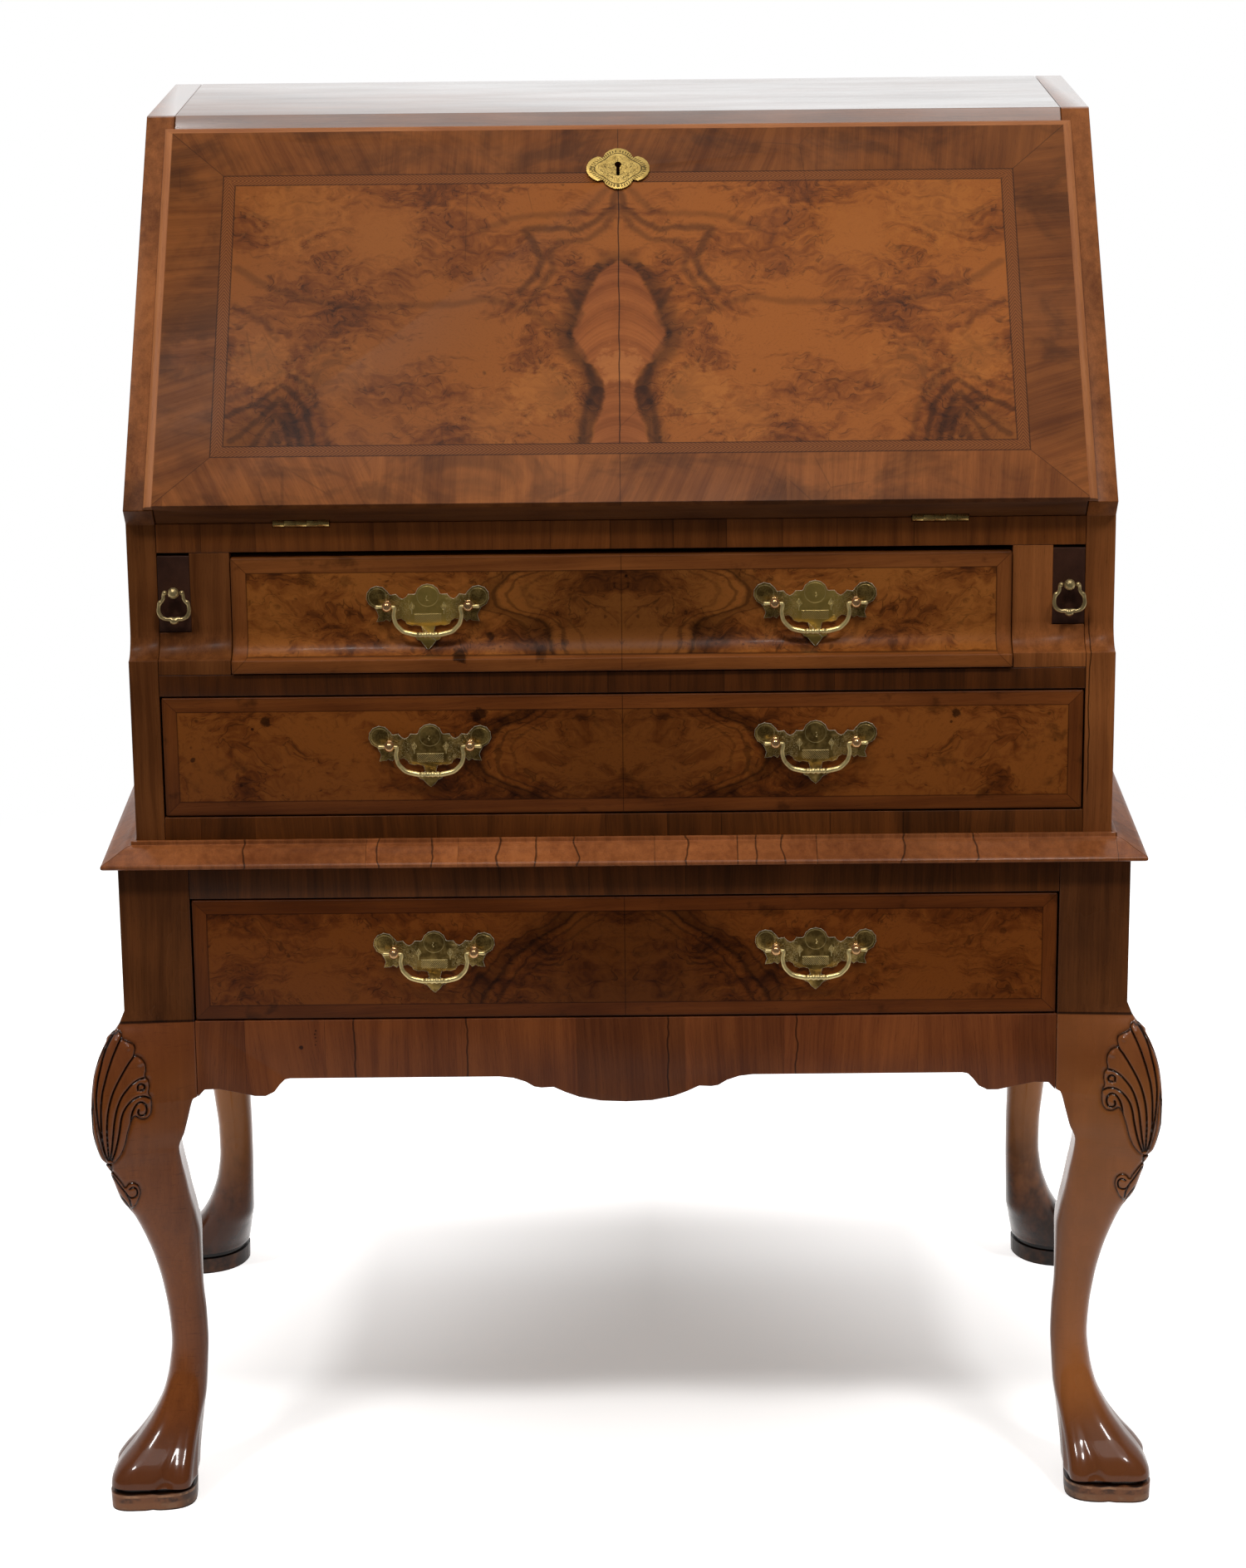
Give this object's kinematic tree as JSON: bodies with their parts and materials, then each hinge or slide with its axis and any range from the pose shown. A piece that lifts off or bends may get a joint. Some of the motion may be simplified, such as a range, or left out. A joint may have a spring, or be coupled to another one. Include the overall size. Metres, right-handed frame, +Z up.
{
  "type": "slant-front desk on stand",
  "caption": "Slant-front desk with a burr fall that opens on lopers over a fitted interior, long drawers with batwing pulls, and a cabriole-legged stand with a drawer and shaped apron.",
  "frame": {"origin": "centre of the footprint on the floor", "axes": "+X to the right seen from the front, +Y to the back, +Z up"},
  "size_m": [0.8546, 0.5656, 1.1],
  "materials": {
    "leg_walnut": "polished, worn at the feet",
    "moulding_walnut": "polished",
    "drawer_walnut": "polished, a few dark ink stains",
    "pine": "unpolished, oxidised",
    "burr_walnut": "high polish, cross-banded with a feather band",
    "iron": "dull",
    "brass": "old lacquered brass, engraved",
    "loper_walnut": "polished",
    "case_walnut": "polished"
  },
  "bodies": {
    "stand_and_case": {"leg_front_left": "leg_walnut", "leg_front_right": "leg_walnut", "leg_back_left": "leg_walnut", "leg_back_right": "leg_walnut", "stand_apron_front": "case_walnut", "stand_top_rail": "case_walnut", "stand_side_left": "case_walnut", "stand_side_right": "case_walnut", "stand_back": "pine", "stand_runner_left": "pine", "stand_runner_right": "pine", "moulding_front": "moulding_walnut", "moulding_left": "moulding_walnut", "moulding_right": "moulding_walnut", "case_side_left": "case_walnut", "case_side_right": "case_walnut", "case_top": "case_walnut", "case_bottom": "case_walnut", "case_back": "pine", "dust_board": "case_walnut", "writing_deck": "case_walnut", "loper_housing_left": "case_walnut", "loper_housing_right": "case_walnut", "pigeonhole_unit": "case_walnut", "hinge_left_case_leaf": "brass", "hinge_right_case_leaf": "brass"},
    "fall": {"fall_front": "burr_walnut", "fall_escutcheon": "brass", "fall_lock_case": "iron", "hinge_left_fall_leaf": "brass", "hinge_right_fall_leaf": "brass"},
    "lock_bolt": {"fall_lock_bolt": "iron"},
    "drawer_upper": {"drawer_front_upper": "drawer_walnut", "drawer_box_upper": "pine", "pull_plate_upper_left": "brass", "pull_plate_upper_right": "brass"},
    "bail_upper_left": {"bail_upper_left": "brass"},
    "bail_upper_right": {"bail_upper_right": "brass"},
    "drawer_lower": {"drawer_front_lower": "drawer_walnut", "drawer_box_lower": "pine", "pull_plate_lower_left": "brass", "pull_plate_lower_right": "brass"},
    "bail_lower_left": {"bail_lower_left": "brass"},
    "bail_lower_right": {"bail_lower_right": "brass"},
    "drawer_stand": {"drawer_front_stand": "drawer_walnut", "drawer_box_stand": "pine", "pull_plate_stand_left": "brass", "pull_plate_stand_right": "brass"},
    "bail_stand_left": {"bail_stand_left": "brass"},
    "bail_stand_right": {"bail_stand_right": "brass"},
    "loper_body_left": {"loper_left": "loper_walnut", "loper_pull_left": "brass"},
    "loper_ring_left": {"loper_ring_left": "brass"},
    "loper_body_right": {"loper_right": "loper_walnut", "loper_pull_right": "brass"},
    "loper_ring_right": {"loper_ring_right": "brass"},
    "interior_drawer_1": {"interior_drawer_1": "case_walnut"},
    "interior_drawer_2": {"interior_drawer_2": "case_walnut"},
    "interior_drawer_3": {"interior_drawer_3": "case_walnut"},
    "interior_drawer_4": {"interior_drawer_4": "case_walnut"}
  },
  "joints": [
    {"name": "fall_hinge", "type": "hinge", "parent": "stand_and_case", "child": "fall", "pos_m": [0, -0.225, 0.815], "axis": [1, 0, 0], "range_deg": [0, 135]},
    {"name": "lock_bolt_slide", "type": "slide", "parent": "fall", "child": "lock_bolt", "axis": [0, 0.7071, 0.7071], "range_m": [0, 0.007]},
    {"name": "drawer_upper_slide", "type": "slide", "parent": "stand_and_case", "child": "drawer_upper", "axis": [0, -1, 0], "range_m": [0, 0.3]},
    {"name": "bail_upper_left_swing", "type": "hinge", "parent": "drawer_upper", "child": "bail_upper_left", "pos_m": [-0.1515, -0.2373, 0.75], "axis": [-1, 0, 0], "range_deg": [-8, 95]},
    {"name": "bail_upper_right_swing", "type": "hinge", "parent": "drawer_upper", "child": "bail_upper_right", "pos_m": [0.1515, -0.2373, 0.75], "axis": [-1, 0, 0], "range_deg": [-8, 95]},
    {"name": "drawer_lower_slide", "type": "slide", "parent": "stand_and_case", "child": "drawer_lower", "axis": [0, -1, 0], "range_m": [0, 0.3]},
    {"name": "bail_lower_left_swing", "type": "hinge", "parent": "drawer_lower", "child": "bail_lower_left", "pos_m": [-0.1515, -0.2533, 0.641], "axis": [-1, 0, 0], "range_deg": [-8, 95]},
    {"name": "bail_lower_right_swing", "type": "hinge", "parent": "drawer_lower", "child": "bail_lower_right", "pos_m": [0.1515, -0.2533, 0.641], "axis": [-1, 0, 0], "range_deg": [-8, 95]},
    {"name": "drawer_stand_slide", "type": "slide", "parent": "stand_and_case", "child": "drawer_stand", "axis": [0, -1, 0], "range_m": [0, 0.3]},
    {"name": "bail_stand_left_swing", "type": "hinge", "parent": "drawer_stand", "child": "bail_stand_left", "pos_m": [-0.1515, -0.2653, 0.474], "axis": [-1, 0, 0], "range_deg": [-8, 95]},
    {"name": "bail_stand_right_swing", "type": "hinge", "parent": "drawer_stand", "child": "bail_stand_right", "pos_m": [0.1515, -0.2653, 0.474], "axis": [-1, 0, 0], "range_deg": [-8, 95]},
    {"name": "loper_left_slide", "type": "slide", "parent": "stand_and_case", "child": "loper_body_left", "axis": [0, -1, 0], "range_m": [0, 0.29]},
    {"name": "loper_ring_left_swing", "type": "hinge", "parent": "loper_body_left", "child": "loper_ring_left", "pos_m": [-0.3501, -0.232, 0.7615], "axis": [-1, 0, 0], "range_deg": [-6, 90]},
    {"name": "loper_right_slide", "type": "slide", "parent": "stand_and_case", "child": "loper_body_right", "axis": [0, -1, 0], "range_m": [0, 0.29]},
    {"name": "loper_ring_right_swing", "type": "hinge", "parent": "loper_body_right", "child": "loper_ring_right", "pos_m": [0.3501, -0.232, 0.7615], "axis": [-1, 0, 0], "range_deg": [-6, 90]},
    {"name": "interior_drawer_1_slide", "type": "slide", "parent": "stand_and_case", "child": "interior_drawer_1", "axis": [0, -1, 0], "range_m": [0, 0.1]},
    {"name": "interior_drawer_2_slide", "type": "slide", "parent": "stand_and_case", "child": "interior_drawer_2", "axis": [0, -1, 0], "range_m": [0, 0.1]},
    {"name": "interior_drawer_3_slide", "type": "slide", "parent": "stand_and_case", "child": "interior_drawer_3", "axis": [0, -1, 0], "range_m": [0, 0.1]},
    {"name": "interior_drawer_4_slide", "type": "slide", "parent": "stand_and_case", "child": "interior_drawer_4", "axis": [0, -1, 0], "range_m": [0, 0.1]}
  ]
}
